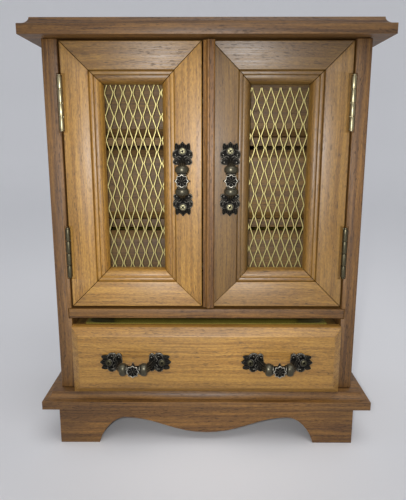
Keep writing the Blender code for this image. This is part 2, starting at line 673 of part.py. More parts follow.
def pulls(left_axis, right_axis, drawer_slide):
    mesh = pull_mesh()
    upright = math.radians(90)
    for name, side, axis in (("left_door_pull", -1, left_axis),
                             ("right_door_pull", 1, right_axis)):
        place(name, mesh, "dark_bronze", (side * DOOR_PULL_X, FACE, DOOR_MIDDLE + DOOR_PULL_RISE),
              (upright, 0, 0), axis)
    height = BASE_TOP + FRONT_LIFT + FRONT_HEIGHT / 2 + DRAWER_PULL_RISE
    for name, side in (("left_drawer_pull", -1), ("right_drawer_pull", 1)):
        place(name, mesh, "dark_bronze", (side * DRAWER_PULL_X, DRAWER_FACE, height),
              (upright, upright, 0), drawer_slide)


# ---------------------------------------------------------------- drawers
def raised_front(name, kind, face, edge, low_z, high_z, parent):
    """A drawer front: its raised field slopes back to a thinner edge all round."""
    half = INNER - FRONT_SIDE_GAP
    bm = bmesh.new()
    y0 = face + BEVEL_DEPTH
    cube(bm, (-half, y0, low_z), (half, y0 + edge, high_z))
    front = [item for item in bm.faces if item.normal.y < -0.5]
    grown = bmesh.ops.extrude_face_region(bm, geom=front)["geom"]
    bmesh.ops.delete(bm, geom=front, context="FACES")
    middle = (low_z + high_z) / 2
    for vertex in (item for item in grown if isinstance(item, bmesh.types.BMVert)):
        vertex.co.y = face
        vertex.co.x -= math.copysign(BEVEL_WIDTH, vertex.co.x)
        vertex.co.z -= math.copysign(BEVEL_WIDTH, vertex.co.z - middle)
    at = Vector((0, face, middle))
    bmesh.ops.translate(bm, verts=bm.verts, vec=-at)
    return place(name, mesh_from(bm, name), kind, at, parent=parent)


def open_box(name, kind, low, high, wall, floor, parent):
    """A box open at the top, in one piece."""
    low, high = Vector(low), Vector(high)
    at = (low + high) / 2
    bm = bmesh.new()
    cube(bm, low - at, high - at)
    top = [face for face in bm.faces if face.normal.z > 0.5]
    bmesh.ops.inset_region(bm, faces=top, thickness=wall, use_even_offset=True)
    grown = bmesh.ops.extrude_face_region(bm, geom=top)["geom"]
    bmesh.ops.delete(bm, geom=top, context="FACES")
    inside = [item for item in grown if isinstance(item, bmesh.types.BMVert)]
    bmesh.ops.translate(bm, verts=inside, vec=(0, 0, floor - (high.z - low.z)))
    return place(name, mesh_from(bm, name), kind, at, parent=parent)


def rounded_rectangle(half_x, half_y, radius, steps):
    points = []
    for i, (sx, sy) in enumerate(((1, 1), (-1, 1), (-1, -1), (1, -1))):
        centre = (sx * (half_x - radius), sy * (half_y - radius))
        points += arc(centre, (radius, radius), 90 * i, 90 * i + 90, steps)
    return points


def lower_drawer(slide):
    low_z = BASE_TOP + FRONT_LIFT
    high_z = low_z + FRONT_HEIGHT
    raised_front("drawer_front", "honey_oak", DRAWER_FACE, FRONT_EDGE, low_z, high_z, slide)
    y0 = DRAWER_FACE + BEVEL_DEPTH + FRONT_EDGE + FIT
    y1 = BACK_FRONT - DRAWER_OUT - BOX_BACK_GAP
    rim = high_z - BOX_BELOW_FRONT
    outer = INNER - BOX_SIDE_GAP
    inner = outer - BOX_WALL
    board("drawer_left_wall", "inner_wood", (-outer, y0, low_z), (-inner, y1, rim), slide)
    board("drawer_right_wall", "inner_wood", (inner, y0, low_z), (outer, y1, rim), slide)
    board("drawer_back_wall", "inner_wood", (-inner + FIT, y1 - BOX_WALL, low_z),
          (inner - FIT, y1, rim), slide)
    board("drawer_bottom", "inner_wood", (-inner + FIT, y0, low_z),
          (inner - FIT, y1 - BOX_WALL - FIT, low_z + BOX_BOTTOM), slide, edge=0)
    half_x = inner - FIT
    half_y = (y1 - BOX_WALL - FIT - y0) / 2
    floor = low_z + BOX_BOTTOM + FIT
    lining_top = rim + LINING_RISE
    at = (0, y0 + half_y, (floor + lining_top) / 2)
    lining = board("drawer_lining", "felt",
                   (-half_x, y0, floor), (half_x, y0 + 2 * half_y, lining_top), slide, edge=0)
    hollow = outline_mesh("lining_hollow",
                          rounded_rectangle(half_x - LINING_THICKNESS, half_y - LINING_THICKNESS,
                                            LINING_CORNER, 4), lining_top - floor)
    hollow.transform(Matrix.Translation((0, 0, LINING_THICKNESS)))
    combine(lining, guide("lining_hollow", hollow, at))


def inner_drawer(word, floor_z, opening, slide):
    low_z = floor_z + INNER_LIFT
    high_z = floor_z + opening - INNER_TOP_GAP
    raised_front(word + "_drawer_front", "inner_wood", INNER_FACE, INNER_EDGE,
                 low_z, high_z, slide)
    y0 = INNER_EDGE_FACE + INNER_EDGE + FIT
    half = INNER - BOX_SIDE_GAP
    open_box(word + "_drawer_tray", "inner_wood", (-half, y0, low_z),
             (half, BACK_FRONT - BOX_BACK_GAP, high_z - BOX_BELOW_FRONT), INNER_WALL,
             INNER_BOTTOM, slide)
    reach, radius = KNOB_REACH, KNOB_RADIUS
    profile = [(0, reach)] + [(radius * math.sin(a), reach - radius * 0.45 * (1 - math.cos(a)))
                              for a in (0.5, 1.0, math.pi / 2)]
    profile += [(radius * 0.8, reach * 0.38), (radius * 0.42, reach * 0.28)]
    profile += [(radius * 0.5, FIT), (0, FIT)]
    turned(word + "_drawer_knob", "hinge_brass", profile,
           (0, INNER_FACE, (low_z + high_z) / 2), (math.radians(90), 0, 0), slide)


# ---------------------------------------------------------------- the armoire
def main():
    left_axis = axis_empty("left_door_axis", (-HINGE_X, HINGE_Y, MIDDLE_TOP))
    right_axis = axis_empty("right_door_axis", (HINGE_X, HINGE_Y, MIDDLE_TOP))
    drawer_slide = axis_empty("lower_drawer_slide", (0, DRAWER_FACE, BASE_TOP))
    carcass()
    door("left", -1, left_axis)
    door("right", 1, right_axis)
    meeting_strip(right_axis)
    pulls(left_axis, right_axis, drawer_slide)
    lower_drawer(drawer_slide)
    floors = [MIDDLE_TOP] + [level + DIVIDER_THICKNESS for level in DIVIDER_LEVELS]
    openings = (LOWEST_OPENING, INNER_OPENING, INNER_OPENING)
    for word, floor_z, opening in zip(("bottom", "middle", "top"), floors, openings):
        slide = axis_empty(word + "_drawer_slide", (0, INNER_FACE, floor_z))
        inner_drawer(word, floor_z, opening, slide)
    for piece in PARTS.objects:
        if piece.type == "MESH" and ("pin" in piece.name or "knob" in piece.name):
            piece.data.shade_smooth()


main()
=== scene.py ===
"""Jewelry armoire: woods, brass mesh, hinges, bow pulls and linings for a table-top cabinet.

The cabinet stands on the floor with its doors facing -Y. Metres, +Z up.
"""
import json
import math

import bmesh
import bpy
import numpy as np
from bpy.props import FloatProperty, FloatVectorProperty, IntProperty, PointerProperty
from mathutils import Matrix, Vector


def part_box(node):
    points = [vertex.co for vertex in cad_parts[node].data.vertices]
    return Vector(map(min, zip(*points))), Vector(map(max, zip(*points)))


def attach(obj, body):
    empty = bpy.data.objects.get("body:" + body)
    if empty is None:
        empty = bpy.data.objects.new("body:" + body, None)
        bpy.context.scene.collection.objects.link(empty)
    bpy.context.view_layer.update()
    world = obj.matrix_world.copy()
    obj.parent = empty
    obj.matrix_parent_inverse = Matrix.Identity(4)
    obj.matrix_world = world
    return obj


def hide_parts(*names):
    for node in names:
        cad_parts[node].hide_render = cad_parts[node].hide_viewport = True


bl_info = {
    "name": "Jewelry Armoire",
    "version": (1, 0, 0),
    "blender": (4, 5, 0),
    "location": "3D View > Sidebar > Armoire",
    "description": "Dresses a table-top jewelry armoire: oak, brass mesh, hinges and bow pulls",
    "category": "Add Mesh",
}

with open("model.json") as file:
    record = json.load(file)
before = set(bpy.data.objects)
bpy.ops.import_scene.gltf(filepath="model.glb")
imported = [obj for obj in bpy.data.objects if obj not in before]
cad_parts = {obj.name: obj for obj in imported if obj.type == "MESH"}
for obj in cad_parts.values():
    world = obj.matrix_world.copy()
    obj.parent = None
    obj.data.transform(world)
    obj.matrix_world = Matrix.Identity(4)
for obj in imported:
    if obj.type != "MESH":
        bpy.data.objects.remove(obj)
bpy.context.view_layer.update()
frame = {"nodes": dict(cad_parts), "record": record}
BODY_OF = {node: body for body, nodes in frame["record"]["behaviour"]["bodies"].items()
           for node in nodes}
DOORS = ("left", "right")
LEVELS = ("bottom", "middle", "top")
HINGES = ("lower", "upper")
MM = 0.001
WELD = 1e-6                  # points nearer than this are one point


# ------------------------------------------------------------------ settings
def colour(name, about, value):
    return FloatVectorProperty(name=name, description=about, default=value, size=3,
                               subtype="COLOR", min=0, max=1)


def length(name, about, value):
    return FloatProperty(name=name, description=about, default=value, unit="LENGTH",
                         min=0, precision=5)


class ArmoireWoods(bpy.types.PropertyGroup):
    honey_light: colour("Honey light", "Pale grain of the doors and drawer front",
                        (0.395, 0.205, 0.033))
    honey_dark: colour("Honey dark", "Dark grain of the doors and drawer front",
                       (0.235, 0.107, 0.012))
    brown_light: colour("Brown light", "Pale grain of the case", (0.215, 0.100, 0.019))
    brown_dark: colour("Brown dark", "Dark grain of the case", (0.088, 0.036, 0.006))
    inner_light: colour("Inner light", "Pale grain of the inner drawers", (0.150, 0.080, 0.012))
    inner_dark: colour("Inner dark", "Dark grain of the inner drawers", (0.072, 0.034, 0.004))
    strip_reach: length("Strip reach", "How far the meeting strip's lip reaches past its bead",
                        0.00045)
    arris: length("Rounded arris", "How far the edges of the boards are rounded", 0.00022)


class ArmoireMetals(bpy.types.PropertyGroup):
    mesh_brass: colour("Mesh brass", "Lacquered brass of the door mesh", (0.44, 0.375, 0.150))
    hinge_brass: colour("Hinge brass", "Pale plated brass", (0.36, 0.315, 0.19))
    screw_brass: colour("Screw brass", "Dulled brass of the pulls' screws", (0.36, 0.33, 0.20))
    patina: colour("Patina", "Dark bronze of the pulls", (0.014, 0.0125, 0.0095))
    olive: colour("Olive", "Bronze of the grip's bulbs", (0.085, 0.076, 0.050))
    rubbed: colour("Rubbed", "Bronze where fingers have rubbed it", (0.55, 0.51, 0.42))
    steel: colour("Steel", "Strike plates", (0.55, 0.55, 0.56))
    felt: colour("Felt", "Drawer linings", (0.150, 0.120, 0.018))


class ArmoireMesh(bpy.types.PropertyGroup):
    across: length("Diamond width", "Width of one diamond of the mesh", 0.00525)
    down: length("Diamond height", "Height of one diamond of the mesh", 0.01287)
    strand: length("Strand", "Width of a strand", 0.00072)
    bond: length("Bond", "Height over which two strands run side by side", 0.0010)
    eye: length("Eye", "Half the distance of two strands at the middle of a bond", 0.00031)


class ArmoirePulls(bpy.types.PropertyGroup):
    grain: length("Casting grain", "Finest detail that the casting keeps", 0.00010)
    keep: FloatProperty(name="Faces kept", description="Share of the casting's faces kept",
                        default=0.26, min=0.05, max=1)
    screw_radius: length("Screw head radius", "Radius of a pull's screw head", 0.00185)
    screw_spacing: length("Screw spacing", "Distance of a pull's two screws", 0.0308)


class ArmoireStage(bpy.types.PropertyGroup):
    camera: FloatVectorProperty(name="Camera", description="Where the camera stands",
                                default=(-0.0002, -0.3318, 0.1833), subtype="TRANSLATION")
    tilt: FloatProperty(name="Tilt", description="How far the camera looks down",
                        default=math.radians(12.10), subtype="ANGLE")
    swing: FloatProperty(name="Swing", description="How far the camera looks to the left",
                         default=math.radians(0.334), subtype="ANGLE")
    lens: FloatProperty(name="Lens", description="Focal length in millimetres", default=37.32)
    floor: colour("Floor", "Plain pale floor", (0.79, 0.79, 0.805))
    front_lamp: FloatProperty(name="Front lamp", description="Power of the lamp by the camera",
                              default=3.3, unit="POWER", min=0)
    beside: FloatVectorProperty(name="Beside the lens", description="Front lamp from the camera",
                                default=(-0.011, 0, 0.004), subtype="TRANSLATION")
    cone: FloatProperty(name="Cone", description="Width of the front lamp's beam",
                        default=math.radians(66), subtype="ANGLE")
    top_lamp: FloatProperty(name="Top lamp", description="Power of the soft box overhead",
                            default=5.5, unit="POWER", min=0)
    daylight: FloatProperty(name="Daylight", description="Strength of the light all round",
                            default=0.53, min=0)
    sides: IntProperty(name="Floor sides", description="Sides of the round floor", default=96,
                       min=12)


# ------------------------------------------------------------------ modelling by hand
def clear_selection():
    active = bpy.context.view_layer.objects.active
    if active and active.mode != "OBJECT":
        bpy.ops.object.mode_set(mode="OBJECT")
    bpy.ops.object.select_all(action="DESELECT")


def pick(*objects):
    """Select these objects only; the first becomes the active one."""
    clear_selection()
    for one in objects:
        one.select_set(True)
    bpy.context.view_layer.objects.active = objects[0]
    return objects[0]


def added(name):
    """The object that an add operator has just made, under its own name."""
    made = bpy.context.object
    made.name = made.data.name = name
    return made


def duplicate(source, name):
    """A copy with a mesh of its own, riding on nothing yet."""
    pick(source)
    bpy.ops.object.duplicate()
    copy = added(name)
    copy.parent = None
    for tag in [key for key in copy.keys() if key.startswith("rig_")]:
        del copy[tag]
    return copy


def settle(piece, matrix=None):
    """Put a piece's place into its mesh, so that its object sits at the origin."""
    if matrix is not None:
        piece.matrix_world = matrix
    pick(piece)
    bpy.ops.object.transform_apply(location=True, rotation=True, scale=True)
    return piece


def join(name, pieces):
    pick(*pieces)
    bpy.ops.object.join()
    return added(name)


def modify(piece, kind, **values):
    """Add one modifier and apply it."""
    modifier = piece.modifiers.new(kind.lower(), kind)
    for key, value in values.items():
        setattr(modifier, key, value)
    pick(piece)
    bpy.ops.object.modifier_apply(modifier=modifier.name)
    return piece


def smooth(piece, degrees=35):
    pick(piece)
    bpy.ops.object.shade_smooth_by_angle(angle=math.radians(degrees))
    return piece


def start_edit(piece, everything=True):
    """Open a piece in edit mode, with all of it selected, or with nothing and faces to pick."""
    pick(piece)
    bpy.ops.object.mode_set(mode="EDIT")
    bpy.ops.mesh.select_mode(type="VERT" if everything else "FACE")
    bpy.ops.mesh.select_all(action="SELECT" if everything else "DESELECT")


def end_edit():
    bpy.ops.object.mode_set(mode="OBJECT")


def select_faces(piece, test):
    """In edit mode, select the faces whose (centre, normal) pass a test."""
    bm = bmesh.from_edit_mesh(piece.data)
    for face in bm.faces:
        face.select_set(test(face.calc_center_median(), face.normal))
    bm.select_flush_mode()
    bmesh.update_edit_mesh(piece.data)


def cylinder(name, radius, depth, at, sides):
    """An upright cylinder with its middle at a place."""
    clear_selection()
    bpy.ops.mesh.primitive_cylinder_add(vertices=sides, radius=radius, depth=depth, location=at)
    return settle(added(name))


def block(name, low, high):
    """A box between two corners."""
    low, high = Vector(low), Vector(high)
    clear_selection()
    bpy.ops.mesh.primitive_cube_add(size=1, location=(low + high) / 2)
    made = added(name)
    made.scale = high - low
    return settle(made)


def slab(name, outline, low, high):
    """A flat outline in XY, filled and pushed up from low to high."""
    mesh = bpy.data.meshes.new(name)
    mesh.from_pydata([(x, y, low) for x, y in outline], [], [range(len(outline))])
    made = bpy.data.objects.new(name, mesh)
    bpy.context.scene.collection.objects.link(made)
    start_edit(made)
    bpy.ops.mesh.extrude_region_move(TRANSFORM_OT_translate={"value": (0, 0, high - low)})
    bpy.ops.mesh.select_all(action="SELECT")
    bpy.ops.mesh.normals_make_consistent(inside=False)
    end_edit()
    return made


def rod(name, points, radii, closed=False, order=3, sides=3, steps=6):
    """A smooth rod through points in space, its radius changing along it."""
    clear_selection()
    bpy.ops.curve.primitive_nurbs_path_add(radius=1, location=(0, 0, 0))
    made = added(name)
    curve = made.data
    curve.splines.clear()
    spline = curve.splines.new("NURBS")
    spline.points.add(len(points) - 1)
    for point, place, radius in zip(spline.points, points, radii):
        point.co = (*place, 1)
        point.radius = radius
    spline.order_u = order
    spline.use_endpoint_u = not closed
    spline.use_cyclic_u = closed
    spline.resolution_u = steps
    curve.bevel_depth = 1
    curve.bevel_resolution = sides
    curve.use_fill_caps = not closed
    pick(made)
    bpy.ops.object.convert(target="MESH")
    start_edit(made)
    bpy.ops.mesh.remove_doubles(threshold=WELD)
    bpy.ops.mesh.normals_make_consistent(inside=False)
    end_edit()
    return made


def lathe(name, profile, at, axis="Z", sides=32):
    """Turn a profile of (radius, height) points about an axis through at."""
    mesh = bpy.data.meshes.new(name)
    edges = [(i, i + 1) for i in range(len(profile) - 1)]
    mesh.from_pydata([(r, 0, z) for r, z in profile], edges, [])
    made = bpy.data.objects.new(name, mesh)
    bpy.context.scene.collection.objects.link(made)
    start_edit(made)
    bpy.ops.mesh.spin(steps=sides, angle=math.tau, center=(0, 0, 0), axis=(0, 0, 1))
    bpy.ops.mesh.select_all(action="SELECT")
    bpy.ops.mesh.remove_doubles(threshold=WELD)
    bpy.ops.mesh.normals_make_consistent(inside=False)
    end_edit()
    turn = {"Z": Matrix(), "-Y": Matrix.Rotation(math.pi / 2, 4, "X")}[axis]
    return settle(made, Matrix.Translation(at) @ turn)


def dress(piece, material, node=None, body=None):
    """Give a piece its material and its body, and hide the CAD nodes that it stands for."""
    piece.data.materials.clear()
    piece.data.materials.append(material)
    nodes = [node] if isinstance(node, str) else list(node or ())
    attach(piece, body or BODY_OF[nodes[0]])
    if nodes:
        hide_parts(*nodes)
    return piece


# ------------------------------------------------------------------ materials
def blank(name):
    material = bpy.data.materials.new(name)
    material.use_nodes = True
    return material, material.node_tree, material.node_tree.nodes["Principled BSDF"]


def add(tree, kind, inputs=None, **values):
    """One shader node; an input is either a constant or another node's output."""
    made = tree.nodes.new("ShaderNode" + kind)
    for key, value in values.items():
        setattr(made, key, value)
    for key, value in (inputs or {}).items():
        if isinstance(value, bpy.types.NodeSocket):
            tree.links.new(value, made.inputs[key])
        else:
            made.inputs[key].default_value = value
    return made


def sum_of(tree, a, b, operation="ADD"):
    return add(tree, "Math", {0: a, 1: b}, operation=operation).outputs[0]


def stretch(tree, place, scale):
    return add(tree, "VectorMath", {0: place, 1: scale}, operation="MULTIPLY").outputs[0]


def noise(tree, place, scale=1.0, detail=2.0, roughness=0.5, distortion=0.0):
    return add(tree, "TexNoise", {"Vector": place, "Scale": scale, "Detail": detail,
                                  "Roughness": roughness, "Distortion": distortion}).outputs["Fac"]


def between(tree, value, low, high, to_low=0.0, to_high=1.0):
    """Spread the part of a value from low to high over another range."""
    return add(tree, "MapRange", {"Value": value, "From Min": low, "From Max": high,
                                  "To Min": to_low, "To Max": to_high},
               interpolation_type="SMOOTHSTEP").outputs["Result"]


def mixed(tree, share, a, b, how="MIX"):
    made = add(tree, "Mix", data_type="RGBA", blend_type=how)
    for socket, value in ((made.inputs[0], share), (made.inputs[6], a), (made.inputs[7], b)):
        if isinstance(value, bpy.types.NodeSocket):
            tree.links.new(value, socket)
        elif isinstance(value, (int, float)):
            socket.default_value = value
        else:
            socket.default_value = (*value[:3], 1)
    return made.outputs[2]


def grey(value):
    return (value, value, value)


def bumped(tree, shader, height, strength, distance):
    bump = add(tree, "Bump", {"Height": height, "Strength": strength, "Distance": distance})
    tree.links.new(bump.outputs["Normal"], shader.inputs["Normal"])


def oak(name, light, dark, grain, seed, satin, pores, varnish):
    """Varnished oak whose grain runs along one axis of the object.

    Each noise is stretched by three numbers: the first along the grain, two across it.
    """
    material, tree, shader = blank(name)
    turn = {"X": (0, 0, 0), "Y": (0, 0, -math.pi / 2), "Z": (0, math.pi / 2, 0)}[grain]
    shift = (0.37 * seed % 1.9, 0.61 * seed % 1.7, 0.23 * seed % 1.3)
    spot = add(tree, "TexCoord").outputs["Object"]
    lay = add(tree, "Mapping", {"Vector": spot, "Location": shift, "Rotation": turn}).outputs[0]
    sway = noise(tree, stretch(tree, lay, (9, 30, 30)), detail=2)
    lean = stretch(tree, add(tree, "CombineXYZ", {"Y": sway, "Z": sway}).outputs[0], grey(0.007))
    lay = add(tree, "VectorMath", {0: lay, 1: lean}, operation="ADD").outputs[0]
    rings = noise(tree, stretch(tree, lay, (4.5, 400, 400)), detail=3, roughness=0.55)
    lines = noise(tree, stretch(tree, lay, (20, 1500, 1500)), detail=2, roughness=0.6)
    dashes = noise(tree, stretch(tree, lay, (300, 2300, 2300)), detail=1, roughness=0.4)
    clouds = noise(tree, stretch(tree, lay, (14, 34, 34)), detail=2)
    tone = sum_of(tree, sum_of(tree, rings, 0.5, "MULTIPLY"), sum_of(tree, lines, 0.5, "MULTIPLY"))
    wood = mixed(tree, between(tree, tone, 0.36, 0.66), dark, light)
    patches = mixed(tree, between(tree, clouds, 0.30, 0.72), grey(0.82), grey(1.06))
    wood = mixed(tree, 1.0, wood, patches, "MULTIPLY")
    flecks = noise(tree, stretch(tree, lay, (600, 1500, 1500)), detail=2)
    speckle = mixed(tree, between(tree, flecks, 0.34, 0.66), grey(0.84), grey(1.10))
    wood = mixed(tree, 1.0, wood, speckle, "MULTIPLY")
    opened = sum_of(tree, between(tree, dashes, 0.590, 0.655),
                    between(tree, rings, 0.34, 0.62, 1.0, 0.30), "MULTIPLY")
    pore_colour = [0.42 * value for value in dark]
    wood = mixed(tree, sum_of(tree, opened, pores, "MULTIPLY"), wood, pore_colour)
    tree.links.new(wood, shader.inputs["Base Color"])
    sheen = sum_of(tree, between(tree, lines, 0.3, 0.7, satin, satin + 0.11),
                   sum_of(tree, opened, 0.22, "MULTIPLY"))
    tree.links.new(sheen, shader.inputs["Roughness"])
    shader.inputs["Specular IOR Level"].default_value = 0.55
    shader.inputs["Coat Weight"].default_value = varnish
    shader.inputs["Coat Roughness"].default_value = 0.48
    height = sum_of(tree, sum_of(tree, lines, 0.30, "MULTIPLY"), opened, "SUBTRACT")
    bumped(tree, shader, height, 0.10, 0.00016)
    return material


def cast_bronze(name, patina, rubbed, olive):
    """Dark antique bronze, rubbed bright on its high edges and black in its hollows."""
    material, tree, shader = blank(name)
    spot = add(tree, "TexCoord").outputs["Object"]
    ridge = add(tree, "Attribute", attribute_name="ridge").outputs["Fac"]
    stain = noise(tree, spot, 900, 3)
    uneven = between(tree, stain, 0.30, 0.70, 0.55, 1.0)
    worn = sum_of(tree, between(tree, ridge, 0.75, 0.98), uneven, "MULTIPLY")
    dark = mixed(tree, between(tree, stain, 0.35, 0.70), patina, [2.0 * v for v in patina])
    held = add(tree, "Attribute", attribute_name="held").outputs["Fac"]
    dark = mixed(tree, sum_of(tree, held, 0.8, "MULTIPLY"), dark, olive)
    dark = mixed(tree, between(tree, ridge, 0.30, 0.48), [0.25 * v for v in patina], dark)
    tree.links.new(mixed(tree, worn, dark, rubbed), shader.inputs["Base Color"])
    smoothed = sum_of(tree, worn, held, "MAXIMUM")
    tree.links.new(between(tree, smoothed, 0, 1, 0.64, 0.34), shader.inputs["Roughness"])
    shader.inputs["Metallic"].default_value = 0.70
    shader.inputs["Specular IOR Level"].default_value = 0.25
    bumped(tree, shader, noise(tree, spot, 3200, 2), 0.15, 0.00006)
    return material


def brass(name, tint, rough, tarnish, metal=1.0):
    """Brass with a little tarnish and fine drawing lines."""
    material, tree, shader = blank(name)
    spot = add(tree, "TexCoord").outputs["Object"]
    stain = noise(tree, spot, 420, 4, 0.6)
    dull = [value * factor for value, factor in zip(tint, (0.50, 0.46, 0.36))]
    share = sum_of(tree, between(tree, stain, 0.46, 0.74), tarnish, "MULTIPLY")
    tree.links.new(mixed(tree, share, tint, dull), shader.inputs["Base Color"])
    dulled = between(tree, stain, 0.30, 0.75, rough, rough + 0.20)
    tree.links.new(dulled, shader.inputs["Roughness"])
    shader.inputs["Metallic"].default_value = metal
    drawn = noise(tree, stretch(tree, spot, (5200, 5200, 700)), 1, 1)
    bumped(tree, shader, drawn, 0.10, 0.00004)
    return material


def felt(name, tint):
    """Short woollen felt."""
    material, tree, shader = blank(name)
    spot = add(tree, "TexCoord").outputs["Object"]
    fibre = noise(tree, spot, 2600, 4, 0.7, 0.6)
    cloud = noise(tree, spot, 160, 3)
    deep = [0.55 * value for value in tint]
    pile = mixed(tree, between(tree, fibre, 0.32, 0.68), deep, [1.25 * value for value in tint])
    tree.links.new(mixed(tree, between(tree, cloud, 0.3, 0.7, 0, 0.35), pile, deep),
                   shader.inputs["Base Color"])
    shader.inputs["Roughness"].default_value = 0.95
    shader.inputs["Sheen Weight"].default_value = 0.02
    shader.inputs["Specular IOR Level"].default_value = 0.10
    shader.inputs["Sheen Roughness"].default_value = 0.5
    bumped(tree, shader, fibre, 0.55, 0.00025)
    return material


def moulded(name, tint):
    """Moulded plastic with a fine spark-eroded texture."""
    material, tree, shader = blank(name)
    spot = add(tree, "TexCoord").outputs["Object"]
    fine = noise(tree, spot, 3000, 2)
    tree.links.new(mixed(tree, between(tree, noise(tree, spot, 250, 2), 0.3, 0.7),
                         [0.8 * value for value in tint], tint), shader.inputs["Base Color"])
    tree.links.new(between(tree, fine, 0.2, 0.8, 0.42, 0.58), shader.inputs["Roughness"])
    bumped(tree, shader, fine, 0.25, 0.00005)
    return material


# ------------------------------------------------------------------ the pieces
# The boards of each wood, and the axis that each one's grain runs along.
HONEY = {"drawer_front": "X"}
for _side in DOORS:
    HONEY.update({_side + "_door_hinge_stile": "Z", _side + "_door_lock_stile": "Z",
                  _side + "_door_top_rail": "X", _side + "_door_bottom_rail": "X"})
BROWN = {"top_board": "X", "base_board": "X", "middle_board": "X", "left_side": "Z",
         "right_side": "Z", "meeting_strip": "Z", "front_apron": "X", "rear_apron": "X",
         "left_apron": "Y", "right_apron": "Y"}
INNER = {"lower_divider": "X", "upper_divider": "X", "back_panel": "Z",
         "drawer_left_wall": "Y", "drawer_right_wall": "Y", "drawer_back_wall": "X",
         "drawer_bottom": "X"}
# How much lighter or darker than its wood a single board is. For both top rails this is painted
# shade. For the right door's lock stile it is partly its own tone and partly painted shade.
TONES_AND_SHADE = {"right_door_lock_stile": 0.46, "right_door_top_rail": 0.40, "left_door_top_rail": 0.66,
         "meeting_strip": 1.20, "front_apron": 1.30, "base_board": 1.10, "drawer_front": 0.96}
RIGHT_DOOR_TONE = 0.68       # the rest of the right door
STRIP_LIP = 0.0005           # width of the meeting strip's edge beside the left door
for _word in LEVELS:
    INNER.update({_word + "_drawer_front": "X", _word + "_drawer_tray": "X"})


def softened(node, arris):
    """A merged copy of a CAD node with its edges rounded."""
    piece = duplicate(frame["nodes"][node], node + "_piece")
    start_edit(piece)
    bpy.ops.mesh.remove_doubles(threshold=WELD)
    bpy.ops.mesh.customdata_custom_splitnormals_clear()
    bpy.ops.mesh.dissolve_limited(angle_limit=math.radians(0.6))
    end_edit()
    modify(piece, "BEVEL", width=arris, segments=2, limit_method="ANGLE",
           angle_limit=math.radians(38), use_clamp_overlap=True, harden_normals=False)
    return smooth(piece, 35)


class ARMOIRE_OT_boards(bpy.types.Operator):
    """Oak boards of the case, doors and drawers, each with grain along its length"""
    bl_idname = "armoire.boards"
    bl_label = "Oak boards"

    def execute(self, context):
        woods = context.scene.armoire_woods
        # the last three: lowest roughness, darkness of the pores, weight of the varnish
        kinds = ((HONEY, woods.honey_light, woods.honey_dark, "honey_oak", 0.41, 0.92, 0.45),
                 (BROWN, woods.brown_light, woods.brown_dark, "brown_oak", 0.47, 0.92, 0.15),
                 (INNER, woods.inner_light, woods.inner_dark, "inner_wood", 0.58, 0.45, 0.05))
        seed = 1
        for nodes, light, dark, slot, satin, pores, varnish in kinds:
            for node, grain in nodes.items():
                usual = RIGHT_DOOR_TONE if node.startswith("right_door") else 1.0
                # the top rails and the right door's lock stile get painted shade with their tone
                tone = TONES_AND_SHADE.get(node, usual)
                finish = oak(node + "_oak", [tone * v for v in light], [tone * v for v in dark],
                             grain, seed, satin, pores, varnish)
                board = softened(node, woods.arris)
                if node == "meeting_strip":
                    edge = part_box(node)[0].x
                    for vertex in board.data.vertices:
                        if vertex.co.x < edge + STRIP_LIP:
                            vertex.co.x -= woods.strip_reach
                dress(board, finish, node)
                seed += 1
        return {"FINISHED"}


# Where a node of the mesh lies on each door: x, z.
MESH_NODE = {"left": (-0.0384, 0.2017), "right": (0.0409, 0.2104)}


def strand_points(columns, rows, k, odd, mesh):
    """The zigzag of one strand between node columns k and k+1."""
    points = []
    for j, z in enumerate(rows):
        at_first = (k + j + odd) % 2 == 0
        x, sign = (columns[k], 1) if at_first else (columns[k + 1], -1)
        points += [(x + sign * mesh.eye, 0, z + half * mesh.bond) for half in (0.5, -0.5)]
    return points


class ARMOIRE_OT_mesh(bpy.types.Operator):
    """Brass mesh of the doors: strands that run in zigzags and meet in bonds"""
    bl_idname = "armoire.mesh"
    bl_label = "Brass mesh"

    def execute(self, context):
        mesh = context.scene.armoire_mesh
        tint = list(context.scene.armoire_metals.mesh_brass)
        for side in DOORS:
            node = side + "_door_grille"
            low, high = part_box(node)
            x0, z0 = MESH_NODE[side]
            half_x, half_z = mesh.across / 2, mesh.down / 2
            first = math.ceil((low.x + mesh.strand - x0) / half_x)
            last = math.floor((high.x - mesh.strand - x0) / half_x)
            columns = [x0 + half_x * i for i in range(first, last + 1)]
            top = math.floor((high.z - mesh.bond - z0) / half_z)
            bottom = math.ceil((low.z + mesh.bond - z0) / half_z)
            rows = [z0 + half_z * j for j in range(top, bottom - 1, -1)]
            odd = (first + top) % 2
            strands = []
            for k in range(len(columns) - 1):
                points = strand_points(columns, rows, k, odd, mesh)
                strands.append(rod("strand", points, [mesh.strand / 2] * len(points),
                                   order=2, sides=1, steps=1))
            piece = join(node + "_strands", strands)
            settle(piece, Matrix.Translation((0, (low.y + high.y) / 2, 0)))
            dress(smooth(piece, 60), brass(node + "_brass", tint, 0.40, 0.40, 0.65), node)
        return {"FINISHED"}


KNUCKLES = 4                 # to a hinge
KNUCKLE_RADIUS = 0.00135
KNUCKLE_GAP = 0.00032        # half the gap between two knuckles
PIN_RADIUS = 0.00072
PLATE_BEHIND = 0.0021        # from the pin back to the front edge of a leaf's plate
TAB_BEHIND = 0.0003          # from the pin back to the tab that carries a knuckle
TAB_LAP = 0.0004             # how far the tab reaches into the plate
TAB_SHORT = 0.0001           # how much shorter than its knuckle it is, at each end
LOWER_HINGE_TONE = 0.30      # the lower hinges are darker
# The two faces of a leaf, outwards from the pin.
LEAF = {"door": (-0.00066, -0.00006), "frame": (0.00024, 0.00084)}


